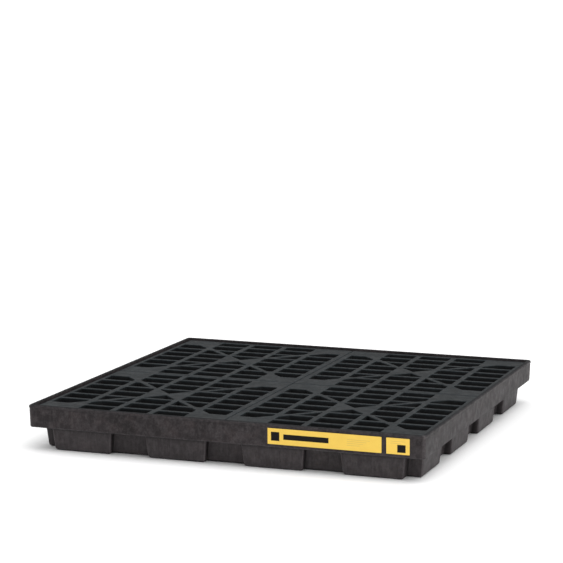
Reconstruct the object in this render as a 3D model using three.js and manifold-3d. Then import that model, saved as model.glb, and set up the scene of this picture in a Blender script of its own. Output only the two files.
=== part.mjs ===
// Low-profile spill containment pallet for four 55 gallon drums.
// Millimetres, +Z up, origin at the middle of the footprint on the floor.
// +X runs along the front face and +Y runs towards the back.

import * as THREE from 'three';
import { mergeVertices } from 'three/addons/utils/BufferGeometryUtils.js';
import Module from 'manifold-3d';

const wasm = await Module();
wasm.setup();

// ---- driving dimensions -------------------------------------------------

const OVERALL_HALF = 622.5;       // 49 in square at the lip
const OVERALL_HEIGHT = 140;       // 5.5 in
const WALL = 6;                   // moulded wall and floor thickness
const GAP = 0.3;                  // clearance between pieces that touch

const LEDGE_Z = 71;               // underside of the rim's overhang
const LIP_Z = 130;                // the lip stands proud above this height
const RIM_BAND_DROP = 1.2;        // the band below the lip is set back by this
const RIM_DRAFT = 1.4;            // the band leans in by this from lip to ledge
const RIM_THICK = 12;
const RIM_CORNER = 10;
const RIM_INNER_CORNER = 2;

const PAD_PITCH = 305;            // 12 in between the lower wall's pads
const PAD_CENTRES = [-1.5, -0.5, 0.5, 1.5].map((k) => k * PAD_PITCH);
const PAD_TOP = { half: 98, face: 598, recess: 575 };
const PAD_FOOT = { half: 90.5, face: 591, recess: 568 };
const PAD_CORNER = 6;
const FOOT_ROUND = 8;

const DECK_Z = 133.5;             // the drums stand at this height
const GRATE_SIZE = 603;
const GRATE_CENTRE = 303;
const GRATE_COLUMNS = 5;
const GRATE_ROWS = 8;
const BAR_Y_WIDTH = 18;           // bars that run along Y
const BAR_X_WIDTH = 13;           // thinner bars that run along X
const DIAGONAL_WIDTH = 15;
const BORDER_INNER = 19;          // along the seam with the next grate
const BORDER_OUTER = 11;          // along the rim
const BORDER_SIDE = 15;           // along the grate's front and back
const TOP_LAYER = 14;             // thickness of the pierced top layer
const WEB = 6;                    // upright ribs below the top layer
const WEB_SETBACK = 0.5;          // the webs stay this far inside the top's edge
const SMALLEST_SLOT = 150;        // square mm; smaller leftovers are filled
const OVERCUT = 2;                // cutters run this far past the faces they cut

const BOSS_RADIUS = 33;
const BOSS_HEIGHT = 6;
const COLUMN_FOOT_RADIUS = 40;
const COLUMN_HEAD_RADIUS = 35;
const COLUMN_HOLE_RADIUS = 14;
const COLUMN_WALL = 4;
const COLUMN_SIDES = 16;

const LABEL_THICK = 0.4;
const LABEL_CORNER = 1.5;
const LABEL_Z = 104.3;
const LABELS = {
  label_long: { x: 320, width: 344.5, height: 47 },
  label_square: { x: 541, width: 69, height: 47 },
};

const SHOULDER_Z = LEDGE_Z + WALL;
const GRATE_FOOT_Z = SHOULDER_Z + GAP;
const FACE_TOP = OVERALL_HALF - RIM_BAND_DROP;
const FACE_FOOT = FACE_TOP - RIM_DRAFT;

// ---- materials ----------------------------------------------------------

const plastic = (color) => new THREE.MeshStandardMaterial({
  color,
  roughness: 0.6,
  metalness: 0,
});
const label = () => new THREE.MeshStandardMaterial({
  color: 0xfad55c,
  roughness: 0.35,
  metalness: 0,
});

// ---- solid helpers ------------------------------------------------------

function toManifold(geometry) {
  const bare = geometry.clone();
  bare.deleteAttribute('normal');
  bare.deleteAttribute('uv');
  const merged = mergeVertices(bare, 1e-4);
  return new wasm.Manifold(new wasm.Mesh({
    numProp: 3,
    vertProperties: new Float32Array(merged.attributes.position.array),
    triVerts: new Uint32Array(merged.index.array),
  }));
}

function fromManifold(solid) {
  const mesh = solid.getMesh();
  const geometry = new THREE.BufferGeometry();
  geometry.setAttribute('position', new THREE.BufferAttribute(mesh.vertProperties, 3));
  geometry.setIndex(new THREE.BufferAttribute(mesh.triVerts, 1));
  geometry.computeVertexNormals();
  return geometry;
}

// A skin through plan outlines of equal length, closed by a flat cap at each end.
function loft(rings) {
  const count = rings[0].length;
  const positions = rings.flat().flatMap((p) => [p.x, p.y, p.z]);
  const index = [];
  for (let r = 0; r + 1 < rings.length; r += 1) {
    for (let i = 0; i < count; i += 1) {
      const a = r * count + i;
      const b = r * count + ((i + 1) % count);
      index.push(a, b, b + count, a, b + count, a + count);
    }
  }
  const last = (rings.length - 1) * count;
  const flat = (ring) => ring.map((p) => new THREE.Vector2(p.x, p.y));
  for (const [a, b, c] of THREE.ShapeUtils.triangulateShape(flat(rings[0]), [])) {
    index.push(a, c, b);
  }
  for (const [a, b, c] of THREE.ShapeUtils.triangulateShape(flat(rings.at(-1)), [])) {
    index.push(last + a, last + b, last + c);
  }
  const geometry = new THREE.BufferGeometry();
  geometry.setAttribute('position', new THREE.Float32BufferAttribute(positions, 3));
  geometry.setIndex(index);
  return geometry;
}

// ---- sump tray ----------------------------------------------------------

// The corners of one side in order, each as a place along the side and a
// distance out from the middle: the notch at its start, then four pads.
function wallCorners({ half, face, recess }) {
  const reach = PAD_CENTRES.at(-1) + half;
  const corners = [[-reach, reach]];
  PAD_CENTRES.forEach((centre, i) => {
    if (i > 0) corners.push([centre - half, recess]);
    corners.push([centre - half, face], [centre + half, face]);
    if (i < PAD_CENTRES.length - 1) corners.push([centre + half, recess]);
  });
  return corners;
}

// The same corners pushed straight out on to a plain square.
function squareCorners(half) {
  return wallCorners(PAD_TOP).map(([along], i) => [i === 0 ? -half : along, half]);
}

// All four sides as one outline, with each corner cut back by its round.
function ring(sideCorners, z, roundAt) {
  const corners = [0, 1, 2, 3].flatMap((side) => sideCorners.map(([along, out], i) => {
    const turn = side * Math.PI / 2;
    const point = new THREE.Vector2(along, -out).rotateAround(new THREE.Vector2(), turn);
    return { point, round: roundAt(i) };
  }));
  return corners.flatMap(({ point, round }, i) => {
    const before = corners.at(i - 1).point;
    const after = corners[(i + 1) % corners.length].point;
    return [before, after].map((end) => {
      const cut = end.clone().sub(point).setLength(round).add(point);
      return new THREE.Vector3(cut.x, cut.y, z);
    });
  });
}

const wallSection = (z, inset) => {
  const t = z / LEDGE_Z;
  const between = (key) => THREE.MathUtils.lerp(PAD_FOOT[key], PAD_TOP[key], t) - inset;
  return { half: between('half'), face: between('face'), recess: between('recess') };
};
const wallRing = (z, inset) => ring(wallCorners(wallSection(z, inset)), z, () => PAD_CORNER);
const rimRing = (z, half, corner = RIM_CORNER) => (
  ring(squareCorners(half), z, (i) => (i === 0 ? corner : PAD_CORNER))
);

function sumpTray() {
  const innerTop = OVERALL_HALF - RIM_THICK;
  const innerFoot = FACE_FOOT - RIM_THICK;
  const pan = loft([
    wallRing(0, FOOT_ROUND),
    wallRing(FOOT_ROUND * 0.3, FOOT_ROUND * 0.3),
    wallRing(FOOT_ROUND, 0),
    wallRing(LEDGE_Z, 0),
    rimRing(LEDGE_Z, FACE_FOOT - 4),
    rimRing(LEDGE_Z + 4, FACE_FOOT),
    rimRing(LIP_Z, FACE_TOP),
    rimRing(LIP_Z + 1.5, OVERALL_HALF - 0.1),
    rimRing(OVERALL_HEIGHT - 5, OVERALL_HALF),
    rimRing(OVERALL_HEIGHT - 1.5, OVERALL_HALF - 1.5),
    rimRing(OVERALL_HEIGHT, OVERALL_HALF - 5),
    rimRing(OVERALL_HEIGHT, innerTop + 2.5, RIM_INNER_CORNER),
    rimRing(OVERALL_HEIGHT - 2.5, innerTop, RIM_INNER_CORNER),
    rimRing(SHOULDER_Z, innerFoot, RIM_INNER_CORNER),
    wallRing(SHOULDER_Z, WALL),
    wallRing(WALL, WALL),
  ]);
  const bosses = columnPlaces().map(({ x, y }) => {
    const boss = new THREE.CylinderGeometry(
      BOSS_RADIUS, BOSS_RADIUS, BOSS_HEIGHT + 1, COLUMN_SIDES,
    );
    return boss.rotateX(Math.PI / 2).translate(x, y, WALL + (BOSS_HEIGHT - 1) / 2);
  });
  return fromManifold(bosses.reduce((tray, boss) => tray.add(toManifold(boss)), toManifold(pan)));
}

// ---- deck grates --------------------------------------------------------

// Keeps the part of a convex outline where nx * x + ny * y >= offset.
function clip(outline, nx, ny, offset) {
  const height = ([x, y]) => nx * x + ny * y - offset;
  return outline.flatMap((point, i) => {
    const next = outline[(i + 1) % outline.length];
    const [a, b] = [height(point), height(next)];
    const kept = a >= 0 ? [point] : [];
    if (a * b < 0) {
      const t = a / (a - b);
      kept.push(point.map((value, axis) => value + t * (next[axis] - value)));
    }
    return kept;
  });
}

function outlineArea(outline) {
  return Math.abs(THREE.ShapeUtils.area(outline.map(([x, y]) => new THREE.Vector2(x, y))));
}

// Cuts a rectangle by the two diagonal ribs into the outlines between them.
// side tells which quarter of the X each outline lies in.
function cellOutlines(x0, x1, y0, y1, ribWidth) {
  const cell = [[x0, y0], [x1, y0], [x1, y1], [x0, y1]];
  const offset = ribWidth / 2;
  const n = Math.SQRT1_2;
  const sides = [['right', 1, 1], ['left', -1, -1], ['back', 1, -1], ['front', -1, 1]];
  return sides.map(([side, falling, rising]) => {
    const first = clip(cell, falling * n, falling * n, offset);
    return { side, outline: clip(first, rising * n, -rising * n, offset) };
  });
}

// A square slab from z0 up to z1 with upright openings through it.
function piercedSlab(half, openings, z0, z1) {
  const height = z1 - z0;
  const slab = new THREE.BoxGeometry(2 * half, 2 * half, height).translate(0, 0, z0 + height / 2);
  const cutters = openings.map((outline) => {
    const shape = new THREE.Shape(outline.map(([x, y]) => new THREE.Vector2(x, y)));
    const options = { depth: height + 2 * OVERCUT, bevelEnabled: false };
    return new THREE.ExtrudeGeometry(shape, options).translate(0, 0, z0 - OVERCUT);
  });
  return cutters.map(toManifold).reduce((solid, cutter) => solid.subtract(cutter), toManifold(slab));
}

// The middle lines of the bars across one direction, with the edges at the ends.
function barLines(count) {
  return Array.from({ length: count + 1 }, (_, i) => GRATE_SIZE * (i / count - 0.5));
}

// The slots of the deck's top layer. The corner cells, the slivers beside the
// diagonals and the two side wings of the middle stay solid.
function deckSlots() {
  const xs = barLines(GRATE_COLUMNS);
  const ys = barLines(GRATE_ROWS);
  const slots = [];
  for (let i = 0; i < GRATE_COLUMNS; i += 1) {
    for (let j = 0; j < GRATE_ROWS; j += 1) {
      const outerColumn = i === 0 || i === GRATE_COLUMNS - 1;
      const outerRow = j === 0 || j === GRATE_ROWS - 1;
      const middleColumn = i === (GRATE_COLUMNS - 1) / 2;
      const x0 = xs[i] + (i === 0 ? BORDER_INNER : BAR_Y_WIDTH / 2);
      const x1 = xs[i + 1] - (i === GRATE_COLUMNS - 1 ? BORDER_OUTER : BAR_Y_WIDTH / 2);
      const y0 = ys[j] + (j === 0 ? BORDER_SIDE : BAR_X_WIDTH / 2);
      const y1 = ys[j + 1] - (j === GRATE_ROWS - 1 ? BORDER_SIDE : BAR_X_WIDTH / 2);
      for (const { side, outline } of cellOutlines(x0, x1, y0, y1, DIAGONAL_WIDTH)) {
        const frontOrBack = side === 'front' || side === 'back';
        const solid = outerColumn ? outerRow || frontOrBack : middleColumn && !frontOrBack;
        if (!solid && outlineArea(outline) > SMALLEST_SLOT) slots.push(outline);
      }
    }
  }
  return slots;
}

// The open bays between the webs under the borders, Y bars and diagonals.
function webBays() {
  const xs = barLines(GRATE_COLUMNS);
  const edge = GRATE_SIZE / 2 - WEB_SETBACK - WEB;
  const bays = [];
  for (let i = 0; i < GRATE_COLUMNS; i += 1) {
    const x0 = Math.max(xs[i] + WEB / 2, -edge);
    const x1 = Math.min(xs[i + 1] - WEB / 2, edge);
    for (const { outline } of cellOutlines(x0, x1, -edge, edge, WEB)) {
      if (outline.length > 2) bays.push(outline);
    }
  }
  return bays;
}

// One grate about its own middle, with the seam's wide border on its -X side:
// a pierced top layer on a web of thin upright ribs.
function grate() {
  const half = GRATE_SIZE / 2;
  const underTop = DECK_Z - TOP_LAYER;
  const top = piercedSlab(half, deckSlots(), underTop, DECK_Z);
  const webs = piercedSlab(half - WEB_SETBACK, webBays(), GRATE_FOOT_Z, underTop + WEB);
  return fromManifold(top.add(webs));
}

// ---- support columns ----------------------------------------------------

// A three by three grid: under each grate's middle and along the seams.
function columnPlaces() {
  const rows = [['front', -GRATE_CENTRE], ['middle', 0], ['back', GRATE_CENTRE]];
  const files = [['left', -GRATE_CENTRE], ['centre', 0], ['right', GRATE_CENTRE]];
  return rows.flatMap(([row, y]) => files.map(([file, x]) => (
    { name: `column_${row}_${file}`, x, y }
  )));
}

// A hollow tapered post, open underneath, with a hole through its head.
function column() {
  const foot = WALL + GAP;
  const underHead = SHOULDER_Z - COLUMN_WALL;
  const profile = [
    [COLUMN_HOLE_RADIUS, underHead],
    [COLUMN_HEAD_RADIUS - COLUMN_WALL, underHead],
    [COLUMN_FOOT_RADIUS - COLUMN_WALL, foot],
    [COLUMN_FOOT_RADIUS, foot],
    [COLUMN_HEAD_RADIUS, SHOULDER_Z - 2],
    [COLUMN_HEAD_RADIUS - 2, SHOULDER_Z],
    [COLUMN_HOLE_RADIUS, SHOULDER_Z],
    [COLUMN_HOLE_RADIUS, underHead],
  ];
  const points = profile.map(([r, z]) => new THREE.Vector2(r, z));
  return new THREE.LatheGeometry(points, COLUMN_SIDES).rotateX(Math.PI / 2);
}

// ---- labels -------------------------------------------------------------

// A thin rounded rectangle in the XY plane, facing +Z.
function labelSheet(width, height) {
  const x = width / 2;
  const y = height / 2;
  const r = LABEL_CORNER;
  const shape = new THREE.Shape();
  shape.moveTo(-x + r, -y);
  shape.lineTo(x - r, -y);
  shape.absarc(x - r, -y + r, r, -Math.PI / 2, 0);
  shape.absarc(x - r, y - r, r, 0, Math.PI / 2);
  shape.absarc(-x + r, y - r, r, Math.PI / 2, Math.PI);
  shape.absarc(-x + r, -y + r, r, Math.PI, Math.PI * 1.5);
  const options = { depth: LABEL_THICK, bevelEnabled: false, curveSegments: 3 };
  return new THREE.ExtrudeGeometry(shape, options);
}

// ---- assembly -----------------------------------------------------------

const group = new THREE.Group();

function addMesh(name, geometry, material, x = 0, y = 0, z = 0) {
  const mesh = new THREE.Mesh(geometry, material);
  mesh.name = name;
  mesh.position.set(x, y, z);
  group.add(mesh);
  return mesh;
}

addMesh('sump_tray', sumpTray(), plastic(0x3e3a3c));

// The four grates are alike: the left-hand pair is turned half round.
for (const [row, sy] of [['front', -1], ['back', 1]]) {
  for (const [side, sx] of [['left', -1], ['right', 1]]) {
    const name = `grate_${row}_${side}`;
    const mesh = addMesh(name, grate(), plastic(0x323a3e), sx * GRATE_CENTRE, sy * GRATE_CENTRE);
    mesh.rotation.z = sx < 0 ? Math.PI : 0;
  }
}

for (const { name, x, y } of columnPlaces()) {
  addMesh(name, column(), plastic(0x2c2c2e), x, y);
}

// Labels lie on the rim's front face and lean with it.
const faceLean = Math.atan2(RIM_DRAFT, LIP_Z - LEDGE_Z - 4);
const faceAtLabel = FACE_FOOT + Math.tan(faceLean) * (LABEL_Z - LEDGE_Z - 4);
for (const [name, { x, width, height }] of Object.entries(LABELS)) {
  const mesh = addMesh(name, labelSheet(width, height), label(), x, -faceAtLabel - GAP, LABEL_Z);
  mesh.rotation.x = Math.PI / 2 + faceLean;
}

export default group;
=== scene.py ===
"""Looks of a low-profile spill containment pallet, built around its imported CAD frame.

Metres, in the frame's own axes: +X along the labelled front face, +Y to the back, +Z up.
"""

import math

import bmesh
import bpy
from mathutils import Matrix, Vector
from mathutils.geometry import tessellate_polygon


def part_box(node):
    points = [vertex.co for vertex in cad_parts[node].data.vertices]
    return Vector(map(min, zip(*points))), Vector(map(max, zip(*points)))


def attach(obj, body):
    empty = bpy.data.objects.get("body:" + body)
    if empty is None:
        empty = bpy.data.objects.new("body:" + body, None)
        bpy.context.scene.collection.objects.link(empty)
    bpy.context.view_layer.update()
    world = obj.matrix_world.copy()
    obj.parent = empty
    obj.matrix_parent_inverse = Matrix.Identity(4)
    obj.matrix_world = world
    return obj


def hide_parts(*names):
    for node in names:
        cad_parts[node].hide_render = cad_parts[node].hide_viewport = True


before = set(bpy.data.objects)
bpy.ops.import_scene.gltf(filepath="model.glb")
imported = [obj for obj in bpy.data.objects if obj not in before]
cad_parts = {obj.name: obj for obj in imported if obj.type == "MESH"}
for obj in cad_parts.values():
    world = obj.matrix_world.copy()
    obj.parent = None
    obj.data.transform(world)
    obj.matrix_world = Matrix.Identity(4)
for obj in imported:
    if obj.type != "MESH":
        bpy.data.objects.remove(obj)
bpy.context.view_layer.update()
MM = 0.001
INSET = 0.01 * MM      # keeps the tray's skin just inside the CAD box
SLIVER = 0.001 * MM    # lengths below this count as nothing

# ---- sizes taken from the frame ------------------------------------------

_, TRAY_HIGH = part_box("sump_tray")
GRATE_LOW, GRATE_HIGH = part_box("grate_front_right")
COLUMN_LOW, COLUMN_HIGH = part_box("column_middle_centre")
HALF = TRAY_HIGH.x - INSET
TOP_Z = TRAY_HIGH.z - INSET
DECK_Z = GRATE_HIGH.z
GRATE_FOOT_Z = GRATE_LOW.z
GRATE_SIZE = GRATE_HIGH.x - GRATE_LOW.x
COLUMN_GAP = 0.3 * MM
FLOOR_Z = COLUMN_LOW.z - COLUMN_GAP
SHOULDER_Z = COLUMN_HIGH.z

# ---- sizes of the tray's section -----------------------------------------

WALL = 6 * MM
LEDGE_Z = SHOULDER_Z - WALL
LIP_Z = 130 * MM
LIP_PROUD = 1.2 * MM
FACE_DRAFT = 1.4 * MM
FACE_TOP = HALF - LIP_PROUD
FACE_FOOT = FACE_TOP - FACE_DRAFT
RIM_THICK = 12 * MM
RIM_CORNER = 10 * MM
RIM_INNER_CORNER = 2 * MM
RIM_TOP_ROUND = 5 * MM
RIM_INNER_ROUND = 2.5 * MM
RIM_FOOT_ROUND = 4 * MM
SHOULDER_ROUND = 3 * MM
FLOOR_ROUND = 6 * MM
PAD_COUNT = 4
PAD_PITCH = 305 * MM
PAD_TOP = {"half": 98 * MM, "face": 598 * MM, "recess": 575 * MM}
PAD_FOOT = {"half": 90.5 * MM, "face": 591 * MM, "recess": 568 * MM}
PAD_ROUND = 5 * MM
FOOT_ROUND = 8 * MM
BOSS_RADIUS = 33 * MM
BOSS_HEIGHT = 6 * MM
BOSS_EDGE = 2 * MM
BOSS_SINK = 0.5 * MM
BOSS_STEPS = 40

# ---- sizes of the grates --------------------------------------------------

BAYS_X, BAYS_Y = 5, 8
BAR_Y_WIDTH = 18 * MM
BAR_X_WIDTH = 13 * MM
DIAGONAL_WIDTH = 15 * MM
BORDER_INNER = 19 * MM
BORDER_OUTER = 11 * MM
BORDER_SIDE = 15 * MM
TOP_LAYER = 14 * MM
WEB = 6 * MM
WEB_SETBACK = 0.5 * MM
WEB_OVERLAP = 2 * MM
SMALLEST_SLOT = 150 * MM * MM
SLOT_ROUND = 5 * MM
GRATE_CORNER = 5 * MM
EDGE_ROUND = 2.5 * MM

# ---- sizes of the columns -------------------------------------------------

COLUMN_FOOT = 40 * MM
COLUMN_HEAD = 35 * MM
COLUMN_HOLE = 14 * MM
COLUMN_WALL = 4 * MM
COLUMN_EDGE = 3 * MM
BEAD_TOP = 8 * MM
BEAD_SIDE_TOP = 6 * MM
BEAD_PROUD = 1.5 * MM
SMALL_CHAMFER = 1 * MM
COLUMN_STEPS = 56


# ---- mesh helpers ---------------------------------------------------------

FLATTEST = 100    # weight of the largest faces in a vertex's normal


def drop_empty_faces(mesh):
    """Joins points that coincide and removes the faces left with no area."""
    editable = bmesh.new()
    editable.from_mesh(mesh)
    bmesh.ops.remove_doubles(editable, verts=editable.verts, dist=SLIVER)
    bmesh.ops.dissolve_degenerate(editable, edges=editable.edges, dist=SLIVER)
    editable.to_mesh(mesh)
    editable.free()


def is_level(face, vertices):
    """True for a face whose corners all lie at one height."""
    heights = [vertices[i].z for i in face.vertices]
    return max(heights) - min(heights) < SLIVER


def mesh_object(name, vertices, faces, worn_and_painted_light):
    """A smooth mesh with flat level faces that take no edge marks; the last argument gives each vertex's
    edge mark: above 0 lightening, partly abrasion and partly painted highlight, below 0 painted shade.
    """
    mesh = bpy.data.meshes.new(name)
    mesh.from_pydata([tuple(v) for v in vertices], [], faces)
    mesh.validate()
    wear_and_painted_light = []
    for face in mesh.polygons:
        level = is_level(face, vertices)
        face.use_smooth = not level
        wear_and_painted_light += [0.0 if level else worn_and_painted_light[i] for i in face.vertices]
    attribute = mesh.attributes.new("wear_and_painted_light", "FLOAT", "CORNER")
    attribute.data.foreach_set("value", wear_and_painted_light)
    drop_empty_faces(mesh)
    piece = bpy.data.objects.new(name, mesh)
    bpy.context.scene.collection.objects.link(piece)
    weighted = piece.modifiers.new("flat faces stay flat", "WEIGHTED_NORMAL")
    weighted.weight = FLATTEST
    weighted.keep_sharp = True
    return piece


class Ring(list):
    """A closed run of points, with each point's own edge mark: above 0 lightening, partly abrasion and
    partly painted highlight, below 0 painted shade.
    """

    def __init__(self, points=()):
        super().__init__(points)
        self.rubbed_and_painted_light = []


class Skin:
    """Gathers rings of points, and the faces between them, into one mesh."""

    def __init__(self):
        self.vertices, self.faces, self.worn_and_painted_light = [], [], []

    def ring(self, points, worn_and_painted_light=0.0):
        """Adds points whose edges are lightened, partly as abrasion and partly as painted highlight, as
        much as the given share says, or more where the ring says so.

        A negative share of the ring's own, for painted shade, always stays.
        """
        start = len(self.vertices)
        self.vertices += points
        rubbed_and_painted_light = getattr(points, "rubbed_and_painted_light", None) or [0.0] * len(points)
        self.worn_and_painted_light += [own if own < 0 else max(worn_and_painted_light, own) for own in rubbed_and_painted_light]
        return range(start, len(self.vertices))

    def join(self, a, b, flip=False):
        """A band of faces between two rings of the same length."""
        for i in range(len(a)):
            j = (i + 1) % len(a)
            face = (a[i], a[j], b[j], b[i])
            self.faces.append(face[::-1] if flip else face)

    def loft(self, rings, worn_and_painted_light, flip=False):
        """Bands of faces from each ring to the next."""
        made = [self.ring(points, w) for points, w in zip(rings, worn_and_painted_light)]
        for a, b in zip(made, made[1:]):
            self.join(a, b, flip)
        return made

    def cap(self, rings, up=True):
        """Fills the flat area inside the first ring and outside the others."""
        loops = [[self.vertices[i] for i in ring] for ring in rings]
        index = [i for ring in rings for i in ring]
        for triangle in tessellate_polygon(loops):
            a, b, c = (index[i] for i in triangle)
            corner = self.vertices[a]
            rising = (self.vertices[b] - corner).cross(self.vertices[c] - corner).z > 0
            self.faces.append((a, b, c) if rising == up else (c, b, a))

    def make(self, name):
        return mesh_object(name, self.vertices, self.faces, self.worn_and_painted_light)


def quarter(steps):
    """(sine, cosine) at even steps through a right angle."""
    return [(math.sin(a), math.cos(a)) for a in (math.pi / 2 * i / steps for i in range(steps + 1))]


def mix(a, b, t):
    return a + (b - a) * t


def circle(centre, radius, z, count):
    angles = [2 * math.pi * i / count for i in range(count)]
    return [Vector((centre.x + radius * math.cos(a), centre.y + radius * math.sin(a), z)) for a in angles]


# ---- sump tray --------------------------------------------------------------

CORNER_STEPS = 4
SHARP_BEND = 0.5    # sine of the least bend that counts as a corner
# the lip steps out from the face: (height above LIP_Z, distance inside HALF, edge lightening, partly
# abrasion and partly painted highlight)
LIP_PROFILE = [
    (-1 * MM, LIP_PROUD, 0.0),
    (0.0, 1.05 * MM, 0.0),
    (1.2 * MM, 0.25 * MM, 0.3),
    (2.2 * MM, 0.05 * MM, 0.2),
]
# fillets where a wall meets a level face: (share of the way across that face, height off it)
LEDGE_FILLET = [(0.03, -0.9 * MM), (0.12, 0.0)]
SHOULDER_FILLET = [(0.02, 0.9 * MM), (0.06, 0.0)]


def wall_corners(half, face, recess):
    """One side's corners in order: (place along the side, distance out)."""
    centres = [(k - (PAD_COUNT - 1) / 2) * PAD_PITCH for k in range(PAD_COUNT)]
    corners = [(-centres[-1] - half, centres[-1] + half)]
    for i, centre in enumerate(centres):
        if i > 0:
            corners.append((centre - half, recess))
        corners += [(centre - half, face), (centre + half, face)]
        if i < PAD_COUNT - 1:
            corners.append((centre + half, recess))
    return corners


def outline(side_corners, z, first_round, other_round):
    """All four sides as one closed outline with rounded corners.

    Outward corners are marked for lightening, partly abrasion and partly painted highlight. The blind
    corners beside the pads get a negative mark, for painted shade.
    """
    corners = []
    for side in range(4):
        turn = Matrix.Rotation(side * math.pi / 2, 3, "Z")
        for i, (along, out) in enumerate(side_corners):
            corners.append((turn @ Vector((along, -out, 0)), first_round if i == 0 else other_round))
    points = Ring()
    for i, (corner, radius) in enumerate(corners):
        before = corner - corners[i - 1][0]
        after = corners[(i + 1) % len(corners)][0] - corner
        into, away = before.normalized(), after.normalized()
        centre = corner + (away - into) * radius
        bend = into.x * away.y - into.y * away.x
        for s, c in quarter(CORNER_STEPS):
            point = centre + (into * s - away * c) * radius
            points.append(Vector((point.x, point.y, z)))
            if bend > SHARP_BEND:
                points.rubbed_and_painted_light.append(2 * s * c)
            elif bend < -SHARP_BEND:
                points.rubbed_and_painted_light.append(-c if before.length < after.length else -s)
            else:
                points.rubbed_and_painted_light.append(0.0)
    return points


def wall_ring(z, inset=0.0):
    """The corrugated lower wall at one height; inset reaches the same wall's inside."""
    t = z / LEDGE_Z
    half, face, recess = (mix(PAD_FOOT[k], PAD_TOP[k], t) - inset for k in ("half", "face", "recess"))
    return outline(wall_corners(half, face, recess), z, PAD_ROUND, PAD_ROUND)


def rim_ring(z, half, corner=RIM_CORNER):
    """A plain square with one point for each point of wall_ring, so the two can be joined."""
    corners = wall_corners(**PAD_TOP)
    straight = [(-half if i == 0 else along, half) for i, (along, _) in enumerate(corners)]
    return outline(straight, z, corner, PAD_ROUND)


def between(a, b, t, z):
    """A ring part of the way from one outline to another."""
    return [Vector((*p.lerp(q, t).xy, z)) for p, q in zip(a, b)]


def sump_tray():
    """One closed skin: up the outside, over the rim, down the inside, then the floor and its bosses."""
    skin = Skin()
    rings, worn_and_painted_light = [], []

    def add(ring, wear_and_painted_light=0.0):
        rings.append(ring)
        worn_and_painted_light.append(wear_and_painted_light)

    # outside: rounded foot, wall, ledge, rim band, lip
    for s, c in quarter(5):
        add(wall_ring(FOOT_ROUND * (1 - c), FOOT_ROUND * (1 - s)), 1.8 * s * c)
    add(wall_ring(0.35 * LEDGE_Z))
    add(wall_ring(0.7 * LEDGE_Z))
    add(wall_ring(LEDGE_Z - 3 * MM))
    wall_top, ledge_edge = wall_ring(LEDGE_Z), rim_ring(LEDGE_Z, FACE_FOOT - RIM_FOOT_ROUND)
    for share, up in LEDGE_FILLET:
        add(between(wall_top, ledge_edge, share, LEDGE_Z + up))
    # the rim's lower edge is lightened: partly abrasion, partly a painted highlight line
    for s, c in quarter(4):
        add(rim_ring(LEDGE_Z + RIM_FOOT_ROUND * (1 - c), FACE_FOOT - RIM_FOOT_ROUND * (1 - s)), 2 * s * c)
    for up, inside, wear_and_painted_light in LIP_PROFILE:
        add(rim_ring(LIP_Z + up, HALF - inside), wear_and_painted_light)
    # the lower part of this edge is lightened, partly abrasion and partly a painted highlight line, and
    # the flat top keeps its painted shade
    for s, c in quarter(5):
        add(rim_ring(TOP_Z - RIM_TOP_ROUND * (1 - s), HALF - RIM_TOP_ROUND * (1 - c)), 1.4 * s * c * c)

    # inside: rim, shoulder, wall, floor
    inner_top, inner_foot = HALF - RIM_THICK, FACE_FOOT - RIM_THICK
    for s, c in quarter(4):
        z, half = TOP_Z - RIM_INNER_ROUND * (1 - c), inner_top + RIM_INNER_ROUND * (1 - s)
        add(rim_ring(z, half, RIM_INNER_CORNER), 0.4 * s * c)
    add(rim_ring(SHOULDER_Z + 3 * MM, inner_foot, RIM_INNER_CORNER))
    shoulder_edge = rim_ring(SHOULDER_Z, inner_foot, RIM_INNER_CORNER)
    inner_wall = wall_ring(SHOULDER_Z, WALL)
    for share, up in SHOULDER_FILLET:
        add(between(shoulder_edge, inner_wall, share, SHOULDER_Z + up))
    for s, c in quarter(3):
        add(wall_ring(SHOULDER_Z - SHOULDER_ROUND * (1 - c), WALL - SHOULDER_ROUND * (1 - s)))
    add(wall_ring(0.5 * LEDGE_Z, WALL))
    for s, c in quarter(4):
        add(wall_ring(FLOOR_Z + FLOOR_ROUND * (1 - s), WALL + FLOOR_ROUND * (1 - c)))

    made = skin.loft(rings, worn_and_painted_light)
    skin.cap([made[0]], up=False)
    skin.cap([made[-1]], up=True)
    for name in column_names():
        floor_boss(skin, middle(name))
    return skin.make("tray_shell")


def floor_boss(skin, centre):
    """A low round boss that keeps one column in its place."""
    edge, top = BOSS_EDGE, FLOOR_Z + BOSS_HEIGHT
    profile = [(BOSS_RADIUS + edge, FLOOR_Z - BOSS_SINK), (BOSS_RADIUS, FLOOR_Z + edge)]
    profile += [(BOSS_RADIUS - edge * (1 - c), top - edge * (1 - s)) for s, c in quarter(3)]
    made = skin.loft([circle(centre, r, z, BOSS_STEPS) for r, z in profile], [0.0] * len(profile))
    skin.cap([made[0]], up=False)
    skin.cap([made[-1]], up=True)


# ---- grates -----------------------------------------------------------------

MOST_OF_EDGE = 0.45    # the most of an edge that one softened corner takes


def clip(points, normal, offset):
    """The part of a convex outline that lies on the far side of a line."""
    kept = []
    for i, p in enumerate(points):
        q = points[(i + 1) % len(points)]
        a, b = p.dot(normal) - offset, q.dot(normal) - offset
        if a >= 0:
            kept.append(p)
        if a * b < 0:
            kept.append(p.lerp(q, a / (a - b)))
    return kept


def cell_outlines(x0, x1, y0, y1, rib_width):
    """Cuts a rectangle by the two diagonal ribs; says which quarter each part lies in."""
    cell = [Vector((x0, y0)), Vector((x1, y0)), Vector((x1, y1)), Vector((x0, y1))]
    diagonal = math.sqrt(0.5)
    for side, falling, rising in (("right", 1, 1), ("left", -1, -1), ("back", 1, -1), ("front", -1, 1)):
        part = clip(cell, Vector((falling, falling)) * diagonal, rib_width / 2)
        if part:
            part = clip(part, Vector((rising, -rising)) * diagonal, rib_width / 2)
        yield side, part


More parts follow.
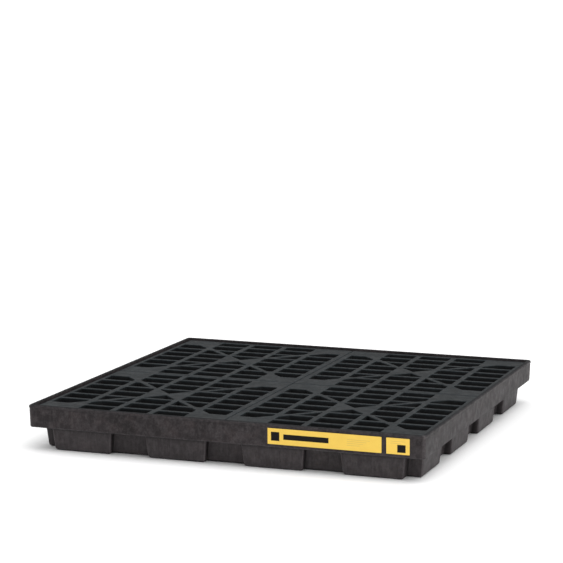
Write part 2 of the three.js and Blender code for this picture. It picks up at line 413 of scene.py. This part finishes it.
def area(points):
    return abs(sum(p.cross(q) for p, q in zip(points, points[1:] + points[:1]))) / 2


def soften(points, radius):
    """The outline with each corner turned into a short curve."""
    soft = []
    for i, corner in enumerate(points):
        before, after = points[i - 1], points[(i + 1) % len(points)]
        back, ahead = before - corner, after - corner
        start = corner + back * min(radius / back.length, MOST_OF_EDGE)
        end = corner + ahead * min(radius / ahead.length, MOST_OF_EDGE)
        for k in range(CORNER_STEPS + 1):
            t = k / CORNER_STEPS
            soft.append(start.lerp(corner, t).lerp(corner.lerp(end, t), t))
    return soft


def bar_lines(count):
    """Middle lines of the bars that divide a grate's side into equal bays."""
    return [GRATE_SIZE * (i / count - 0.5) for i in range(count + 1)]


def slot_cells():
    """Each slot of the top layer, as a function that gives its outline eased outward by a distance."""
    xs, ys = bar_lines(BAYS_X), bar_lines(BAYS_Y)

    def parts(i, j, ease):
        x0 = xs[i] + (BORDER_INNER if i == 0 else BAR_Y_WIDTH / 2) - ease
        x1 = xs[i + 1] - (BORDER_OUTER if i == BAYS_X - 1 else BAR_Y_WIDTH / 2) + ease
        y0 = ys[j] + (BORDER_SIDE if j == 0 else BAR_X_WIDTH / 2) - ease
        y1 = ys[j + 1] - (BORDER_SIDE if j == BAYS_Y - 1 else BAR_X_WIDTH / 2) + ease
        return dict(cell_outlines(x0, x1, y0, y1, DIAGONAL_WIDTH - 2 * ease))

    for i in range(BAYS_X):
        for j in range(BAYS_Y):
            for side, part in parts(i, j, 0).items():
                front_or_back = side in ("front", "back")
                if i in (0, BAYS_X - 1):
                    solid = j in (0, BAYS_Y - 1) or front_or_back
                else:
                    solid = i == BAYS_X // 2 and not front_or_back
                if not solid and part and area(part) > SMALLEST_SLOT:
                    yield lambda ease, i=i, j=j, side=side: parts(i, j, ease)[side]


def web_bays():
    """The open bays between the upright ribs below the top layer."""
    xs = bar_lines(BAYS_X)
    edge = GRATE_SIZE / 2 - WEB_SETBACK - WEB
    for i in range(BAYS_X):
        x0, x1 = max(xs[i] + WEB / 2, -edge), min(xs[i + 1] - WEB / 2, edge)
        for _, part in cell_outlines(x0, x1, -edge, edge, WEB):
            if len(part) > 2:
                yield part


def square(half):
    return [Vector((-half, -half)), Vector((half, -half)), Vector((half, half)), Vector((-half, half))]


def grate(name, node):
    """A pierced top layer with rounded edges on a web of thin upright ribs."""
    centre = middle(node)
    turned = centre.x < 0
    under_top = DECK_Z - TOP_LAYER
    skin = Skin()

    def lift(points, z):
        sign = -1 if turned else 1
        return [Vector((centre.x + sign * p.x, centre.y + sign * p.y, z)) for p in points]

    # the slots: straight walls that round over into the deck
    tops, bottoms = [], []
    for slot_at in slot_cells():
        rings, worn_and_painted_light = [lift(soften(slot_at(0), SLOT_ROUND), under_top)], [0.0]
        for s, c in quarter(4):
            ease = EDGE_ROUND * (1 - c)
            rings.append(lift(soften(slot_at(ease), SLOT_ROUND + ease), DECK_Z - EDGE_ROUND * (1 - s)))
            worn_and_painted_light.append(2 * s * c)
        made = skin.loft(rings, worn_and_painted_light, flip=True)
        bottoms.append(made[0])
        tops.append(made[-1])

    # the outer edge of the top layer
    half = GRATE_SIZE / 2
    rings, worn_and_painted_light = [lift(soften(square(half), GRATE_CORNER), under_top)], [0.0]
    for s, c in quarter(4):
        ease = EDGE_ROUND * (1 - c)
        rings.append(lift(soften(square(half - ease), GRATE_CORNER), DECK_Z - EDGE_ROUND * (1 - s)))
        worn_and_painted_light.append(2 * s * c)
    edge = skin.loft(rings, worn_and_painted_light)
    skin.cap([edge[-1], *tops], up=True)
    skin.cap([edge[0], *bottoms], up=False)

    # the webs below
    levels = (GRATE_FOOT_Z, under_top + WEB_OVERLAP)
    outline_below = soften(square(half - WEB_SETBACK), GRATE_CORNER)
    outer = skin.loft([lift(outline_below, z) for z in levels], [0.0, 0.0])
    bays = []
    for bay in web_bays():
        rings = [lift(soften(bay, SLOT_ROUND), z) for z in levels]
        bays.append(skin.loft(rings, [0.0, 0.0], flip=True))
    skin.cap([outer[0], *(low for low, _ in bays)], up=False)
    skin.cap([outer[1], *(high for _, high in bays)], up=True)
    return skin.make(name)


# ---- columns ------------------------------------------------------------------

def column_names():
    """The CAD nodes of the nine columns, always in the same order."""
    return sorted(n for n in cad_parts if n.startswith("column_"))


def middle(node):
    """The middle of a CAD node's box."""
    low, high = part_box(node)
    return (low + high) / 2


def column(name, node):
    """A hollow tapered post with a rounded head, a hole through it and a foot bead."""
    low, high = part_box(node)
    foot, head, hole, wall, edge = COLUMN_FOOT, COLUMN_HEAD, COLUMN_HOLE, COLUMN_WALL, COLUMN_EDGE
    inside = [
        (hole, high.z - wall),
        (head - wall - edge, high.z - wall),
        (head - wall, high.z - wall - edge),
        (foot - wall - SMALL_CHAMFER, low.z + BEAD_TOP),
        (foot - wall, low.z),
    ]
    bead = [
        (foot - SMALL_CHAMFER, low.z),
        (foot, low.z + SMALL_CHAMFER),
        (foot, low.z + BEAD_SIDE_TOP),
        (foot - BEAD_PROUD, low.z + BEAD_TOP),
    ]
    shoulder = [(head - edge * (1 - c), high.z - edge * (1 - s)) for s, c in quarter(4)]
    bore = [(hole + SMALL_CHAMFER, high.z), (hole, high.z - SMALL_CHAMFER)]
    profile = inside + bead + shoulder + bore
    skin = Skin()
    centre = middle(node)
    made = skin.loft([circle(centre, r, z, COLUMN_STEPS) for r, z in profile], [0.0] * len(profile))
    skin.join(made[-1], made[0])
    return skin.make(name)


# ---- materials ----------------------------------------------------------------

# colour of the painted shade in creases, slots and blind corners
PAINTED_SHADE = (0.004, 0.0035, 0.0035, 1)
# colour of the painted shade on level faces
PAINTED_LEVEL_SHADE = (0.004, 0.0050, 0.0060, 1)
PLASTIC_IOR = 1.5


class Surface:
    """Adds and joins the shader nodes of one material."""

    def __init__(self, name):
        self.material = bpy.data.materials.new(name)
        self.material.use_nodes = True
        self.nodes = self.material.node_tree.nodes
        self.links = self.material.node_tree.links
        self.shader = self.nodes["Principled BSDF"]
        self.place = self.add("ShaderNodeTexCoord").outputs["Object"]

    def add(self, kind, inputs=None, **settings):
        node = self.nodes.new(kind)
        for key, value in settings.items():
            setattr(node, key, value)
        for key, value in (inputs or {}).items():
            self.put(node.inputs[key], value)
        return node

    def put(self, socket, value):
        if isinstance(value, bpy.types.NodeSocket):
            self.links.new(value, socket)
        else:
            socket.default_value = value

    def noise(self, scale, detail=3.0, roughness=0.5, stretch=(1, 1, 1), seed=0.0):
        """Noise in object space; a stretch below 1 draws it out along that axis."""
        placing = {"Vector": self.place, "Scale": stretch, "Location": (seed, seed, seed)}
        moved = self.add("ShaderNodeMapping", placing)
        inputs = {"Vector": moved.outputs[0], "Scale": scale, "Detail": detail, "Roughness": roughness}
        return self.add("ShaderNodeTexNoise", inputs).outputs["Fac"]

    def span(self, value, low, high, to_low=0.0, to_high=1.0):
        """Maps low..high to to_low..to_high and holds it there outside."""
        inputs = {"Value": value, "From Min": low, "From Max": high, "To Min": to_low, "To Max": to_high}
        return self.add("ShaderNodeMapRange", inputs).outputs[0]

    def maths(self, operation, a, b):
        node = self.add("ShaderNodeMath", operation=operation)
        self.put(node.inputs[0], a)
        self.put(node.inputs[1], b)
        return node.outputs[0]

    def blend(self, factor, a, b):
        node = self.add("ShaderNodeMix", data_type="RGBA")
        self.put(node.inputs["Factor"], factor)
        self.put(node.inputs[6], a)
        self.put(node.inputs[7], b)
        return node.outputs[2]

    def bump(self, height, distance, strength=1.0, under=None):
        inputs = {"Height": height, "Distance": distance, "Strength": strength}
        if under is not None:
            inputs["Normal"] = under
        return self.add("ShaderNodeBump", inputs).outputs[0]

    def upright(self):
        """1 on upright faces and 0 on level ones, whichever way they face."""
        normal = self.add("ShaderNodeNewGeometry").outputs["Normal"]
        z = self.add("ShaderNodeSeparateXYZ", {"Vector": normal}).outputs["Z"]
        return self.span(self.maths("ABSOLUTE", z, 0.0), 0.2, 0.6, 1.0, 0.0)

    def wear_and_painted_light(self):
        """The mesh's edge marks: above 0 on edges lightened, partly by abrasion and partly as painted
        highlight, below 0 in blind corners given painted shade.
        """
        return self.add("ShaderNodeAttribute", attribute_name="wear_and_painted_light").outputs["Fac"]


def recycled_plastic(
    name,
    dark,
    mid,
    warm,
    edge,
    roughness,
    streaks,
    painted_bounce,
    level_shade,
    shade_start,
    shade_full,
    shade_end,
):
    """Matte recycled polyethylene: mottled pigment, mould streaks, scuffs, pale edges partly abraded and
    partly painted highlight, painted shade and light.

    dark, mid and warm are the pigments, and edge is the colour of abraded plastic, also used for painted
    highlights and painted light. streaks and the two after it say how strong the drag marks, the painted
    light of floor bounce on the lower wall and the painted shade on level faces are.
    The last three arguments are heights: a band of painted shade grows from the first to the second, and
    reaches no higher than the third.
    """
    s = Surface(name)
    clouds = s.noise(scale=5.0, detail=4.0, roughness=0.6, stretch=(1, 1, 1.6))
    patches = s.noise(scale=16.0, detail=5.0, roughness=0.62, stretch=(1, 1, 1.5), seed=7.0)
    mottle = s.noise(scale=75.0, detail=4.0, roughness=0.7, stretch=(1, 1, 0.8), seed=15.0)
    specks = s.noise(scale=520.0, detail=2.0, roughness=0.5, seed=3.0)
    colour = s.blend(s.span(clouds, 0.36, 0.64), dark, mid)
    colour = s.blend(s.maths("MULTIPLY", s.span(patches, 0.5, 0.66), 0.6), colour, warm)
    colour = s.blend(s.span(mottle, 0.44, 0.72, 0.0, 0.35), colour, edge)
    colour = s.blend(s.span(mottle, 0.28, 0.46, 0.55, 0.0), colour, dark)
    colour = s.blend(s.span(specks, 0.62, 0.8, 0.0, 0.3), colour, edge)

    # painted shade darkens level faces, and the same mask makes them rougher
    upright = s.upright()
    level_shade_mask = s.maths("MULTIPLY", s.maths("SUBTRACT", 1.0, upright), level_shade)
    colour = s.blend(level_shade_mask, colour, PAINTED_LEVEL_SHADE)

    # fine upright drag marks, stronger on the lower walls, and painted light of floor bounce on the lower
    # wall
    lines = s.noise(scale=150.0, detail=3.0, roughness=0.6, stretch=(1, 1, 0.06), seed=11.0)
    height = s.add("ShaderNodeSeparateXYZ", {"Vector": s.place}).outputs["Z"]
    marks = s.maths("MULTIPLY", s.span(lines, 0.45, 0.72, 0.0, streaks), upright)
    marks = s.maths("MULTIPLY", marks, s.span(height, LEDGE_Z, LEDGE_Z + 10 * MM, 1.0, 0.25))
    # painted light of floor bounce, below the ledge
    colour = s.blend(s.span(height, LEDGE_Z, LEDGE_Z + 2 * MM, painted_bounce, 0.0), colour, edge)
    colour = s.blend(marks, colour, edge)

    # painted shade darkens the band of heights given, and the blind corners
    band = s.span(height, shade_start, shade_full)
    inside_band = s.maths("LESS_THAN", height, shade_end)
    painted_shade = s.maths("MULTIPLY", s.maths("MULTIPLY", band, inside_band), 0.75)
    painted_shade = s.maths("MAXIMUM", painted_shade, s.span(s.wear_and_painted_light(), 0.0, -1.0, 0.0, 0.75))
    colour = s.blend(painted_shade, colour, PAINTED_SHADE)

    # edges that stand proud are lightened in scuffs, partly abrasion and partly painted highlight
    scratches = s.noise(scale=90.0, detail=6.0, roughness=0.7, seed=21.0)
    scuffed = s.span(scratches, 0.38, 0.62, 0.25, 1.0)
    rubbed_and_painted_light = s.maths("MULTIPLY", s.span(s.wear_and_painted_light(), 0.0, 1.0), scuffed)
    colour = s.blend(s.maths("MULTIPLY", rubbed_and_painted_light, 0.75), colour, edge)
    s.put(s.shader.inputs["Base Color"], colour)

    sheen = s.noise(scale=34.0, detail=4.0, roughness=0.6, seed=5.0)
    rough = s.span(sheen, 0.3, 0.7, roughness - 0.08, roughness + 0.1)
    s.put(s.shader.inputs["Roughness"], s.maths("ADD", rough, s.maths("MULTIPLY", level_shade_mask, 0.3)))
    s.shader.inputs["Specular IOR Level"].default_value = 0.2
    s.shader.inputs["IOR"].default_value = PLASTIC_IOR

    # uneven walls, drag marks and a fine moulded grain
    swell = s.noise(scale=9.0, detail=2.0, roughness=0.4, seed=2.0)
    grain = s.noise(scale=900.0, detail=2.0, roughness=0.55, seed=9.0)
    relief = s.bump(swell, distance=1.6 * MM, strength=0.6)
    relief = s.bump(marks, distance=0.25 * MM, strength=0.7, under=relief)
    relief = s.bump(grain, distance=0.12 * MM, strength=0.6, under=relief)
    s.put(s.shader.inputs["Normal"], relief)
    return s.material


YELLOW = (0.78, 0.53, 0.098, 1)
FADED_YELLOW = (0.68, 0.44, 0.085, 1)
SCUFFED_YELLOW = (0.5, 0.4, 0.2, 1)
INK = (0.004, 0.0035, 0.003, 1)
PALE_INK = (0.42, 0.33, 0.12, 1)


def label_print(name, node, blocks, lines):
    """Satin yellow vinyl with plain printed blocks and thin rules. No lettering.

    Each block or rule is (left, right, bottom, top), as shares of the label's length and height.
    """
    s = Surface(name)
    low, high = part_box(node)
    split = s.add("ShaderNodeSeparateXYZ", {"Vector": s.place})
    along = s.span(split.outputs["X"], low.x, high.x)
    up = s.span(split.outputs["Z"], low.z, high.z)

    def inside(x0, x1, z0, z1):
        checks = [
            s.maths("GREATER_THAN", along, x0),
            s.maths("LESS_THAN", along, x1),
            s.maths("GREATER_THAN", up, z0),
            s.maths("LESS_THAN", up, z1),
        ]
        result = checks[0]
        for check in checks[1:]:
            result = s.maths("MULTIPLY", result, check)
        return result

    fade = s.noise(scale=24.0, detail=4.0, roughness=0.6, seed=4.0)
    colour = s.blend(s.span(fade, 0.35, 0.7, 0.0, 0.35), YELLOW, FADED_YELLOW)
    for box in lines:
        colour = s.blend(s.maths("MULTIPLY", inside(*box), 0.5), colour, PALE_INK)
    for box in blocks:
        colour = s.blend(inside(*box), colour, INK)
    scuffs = s.noise(scale=260.0, detail=6.0, roughness=0.7, stretch=(1, 1, 0.5), seed=6.0)
    colour = s.blend(s.span(scuffs, 0.66, 0.78, 0.0, 0.4), colour, SCUFFED_YELLOW)
    s.put(s.shader.inputs["Base Color"], colour)
    s.put(s.shader.inputs["Roughness"], s.span(fade, 0.3, 0.7, 0.38, 0.52))
    s.shader.inputs["Specular IOR Level"].default_value = 0.12
    ripples = s.noise(scale=60.0, detail=3.0, seed=8.0)
    s.put(s.shader.inputs["Normal"], s.bump(ripples, distance=0.15 * MM, strength=0.5))
    return s.material


def dress(piece, material):
    """Gives a piece its one material, in its mesh's only material slot."""
    piece.data.materials.clear()
    piece.data.materials.append(material)


# ---- build the looks -----------------------------------------------------------

tray_plastic = recycled_plastic(
    "tray_plastic",
    dark=(0.0085, 0.0062, 0.0068, 1),
    mid=(0.019, 0.0150, 0.0162, 1),
    warm=(0.036, 0.027, 0.0275, 1),
    edge=(0.085, 0.075, 0.078, 1),
    roughness=0.56,
    streaks=0.24,
    # painted light of floor bounce on the lower wall
    painted_bounce=0.2,
    # painted shade on level faces
    level_shade=0.9,
    # painted shade in the crease under the rim
    shade_start=LEDGE_Z - 12 * MM,
    shade_full=LEDGE_Z + 0.3 * MM,
    shade_end=LEDGE_Z + 0.3 * MM,
)
# the blue tint in these colours is a painted reflection of blue drums nearby
grate_plastic = recycled_plastic(
    "grate_plastic",
    dark=(0.0030, 0.0044, 0.0054, 1),
    mid=(0.0056, 0.0082, 0.0100, 1),
    warm=(0.0110, 0.0110, 0.0114, 1),
    edge=(0.032, 0.041, 0.046, 1),
    roughness=0.68,
    streaks=0.1,
    painted_bounce=0.0,
    level_shade=0.0,
    # painted shade in the slots, below the deck
    shade_start=DECK_Z - 2 * MM,
    shade_full=DECK_Z - 9 * MM,
    shade_end=TOP_Z,
)
column_plastic = recycled_plastic(
    "column_plastic",
    dark=(0.0060, 0.0060, 0.0065, 1),
    mid=(0.0110, 0.0105, 0.0110, 1),
    warm=(0.0150, 0.0125, 0.0120, 1),
    edge=(0.040, 0.038, 0.040, 1),
    roughness=0.62,
    streaks=0.15,
    painted_bounce=0.05,
    level_shade=0.3,
    # darker towards the column's foot
    shade_start=FLOOR_Z + 22 * MM,
    shade_full=FLOOR_Z,
    shade_end=TOP_Z,
)

tray = sump_tray()
dress(tray, tray_plastic)
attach(tray, "tray")
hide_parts("sump_tray")

for node in sorted(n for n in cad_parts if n.startswith("grate_")):
    panel = grate(f"{node}_panel", node)
    dress(panel, grate_plastic)
    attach(panel, node)
    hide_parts(node)

for node in column_names():
    post = column(f"{node}_post", node)
    dress(post, column_plastic)
    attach(post, "tray")
    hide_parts(node)

label_prints = {
    "label_long": {
        "blocks": [(0.03, 0.105, 0.22, 0.78), (0.14, 0.54, 0.33, 0.67)],
        "lines": [(0.70, 0.90 - 0.03 * k, 0.66 - 0.12 * k, 0.69 - 0.12 * k) for k in range(4)],
    },
    "label_square": {
        "blocks": [(0.47, 0.83, 0.12, 0.6)],
        "lines": [(0.18, 0.82, 0.78, 0.815), (0.18, 0.62, 0.66, 0.695)],
    },
}
for node, print_of_label in label_prints.items():
    dress(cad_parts[node], label_print(f"{node}_vinyl", node, **print_of_label))


# ---- camera ----------------------------------------------------------------------

CAMERA_PLACE = (2.286, -6.294, 1.464)
CAMERA_TURN = math.radians(20.276)
CAMERA_DIP = math.radians(8.532)
CAMERA_ROLL = math.radians(0.03)
SENSOR_WIDTH_MM = 36
FOCAL_LENGTH_MM = 137.28
FARTHEST_SEEN = 300

lens = bpy.data.cameras.new("camera")
lens.sensor_width = SENSOR_WIDTH_MM
lens.lens = FOCAL_LENGTH_MM
lens.clip_end = FARTHEST_SEEN
camera = bpy.data.objects.new("camera", lens)
bpy.context.scene.collection.objects.link(camera)
aim = Matrix.Rotation(CAMERA_TURN, 4, "Z") @ Matrix.Rotation(math.pi / 2 - CAMERA_DIP, 4, "X")
camera.matrix_world = Matrix.Translation(CAMERA_PLACE) @ aim @ Matrix.Rotation(CAMERA_ROLL, 4, "Z")
bpy.context.scene.camera = camera


# ---- floor and studio light --------------------------------------------------------

FLOOR_CLEARANCE = 0.2 * MM


def studio_floor(half_width):
    """A wide pale floor just below the part."""
    corners = [Vector((x, y, 0)) * half_width for x, y in ((-1, -1), (1, -1), (1, 1), (-1, 1))]
    floor = mesh_object("floor", corners, [(0, 1, 2, 3)], [0.0] * 4)
    floor.location.z = -FLOOR_CLEARANCE
    s = Surface("pale_floor")
    tone = s.span(s.noise(scale=0.7, detail=2.0), 0.3, 0.7)
    s.put(s.shader.inputs["Base Color"], s.blend(tone, (0.9, 0.9, 0.9, 1), (0.93, 0.93, 0.93, 1)))
    s.shader.inputs["Roughness"].default_value = 0.9
    s.shader.inputs["Specular IOR Level"].default_value = 0.1
    floor.data.materials.append(s.material)


def studio_world(overhead, horizon):
    """A pale dome: bright overhead and dim near the horizon."""
    world = bpy.data.worlds.new("studio")
    bpy.context.scene.world = world
    world.use_nodes = True
    tree = world.node_tree
    place = tree.nodes.new("ShaderNodeTexCoord")
    split = tree.nodes.new("ShaderNodeSeparateXYZ")
    ramp = tree.nodes.new("ShaderNodeMapRange")
    ramp.interpolation_type = "SMOOTHSTEP"
    tree.links.new(place.outputs["Generated"], split.inputs[0])
    tree.links.new(split.outputs["Z"], ramp.inputs["Value"])
    ramp.inputs["From Min"].default_value = 0.15
    ramp.inputs["From Max"].default_value = 0.8
    ramp.inputs["To Min"].default_value = horizon
    ramp.inputs["To Max"].default_value = overhead
    backdrop = tree.nodes["Background"]
    backdrop.inputs["Color"].default_value = (1.0, 1.0, 1.0, 1)
    tree.links.new(ramp.outputs[0], backdrop.inputs["Strength"])


def lamp(name, kind, energy, place, target, **settings):
    """A light at place that shines towards target."""
    light = bpy.data.lights.new(name, kind)
    light.energy = energy
    for key, value in settings.items():
        setattr(light, key, value)
    holder = bpy.data.objects.new(name, light)
    bpy.context.scene.collection.objects.link(holder)
    holder.location = place
    holder.rotation_euler = (Vector(target) - Vector(place)).to_track_quat("-Z", "Y").to_euler()


studio_floor(half_width=120.0)
studio_world(overhead=1.15, horizon=0.7)
lamp("key", "SUN", energy=1.2, place=(0.7, -0.1, 2.6), target=(0, 0, 0), angle=math.radians(50))
lamp(
    "side_box",
    "AREA",
    energy=12,
    place=(2.4, -1.6, 1.1),
    target=(0.6, -0.5, 0.1),
    shape="RECTANGLE",
    size=1.2,
    size_y=0.9,
)
bpy.context.scene.view_settings.view_transform = "Standard"
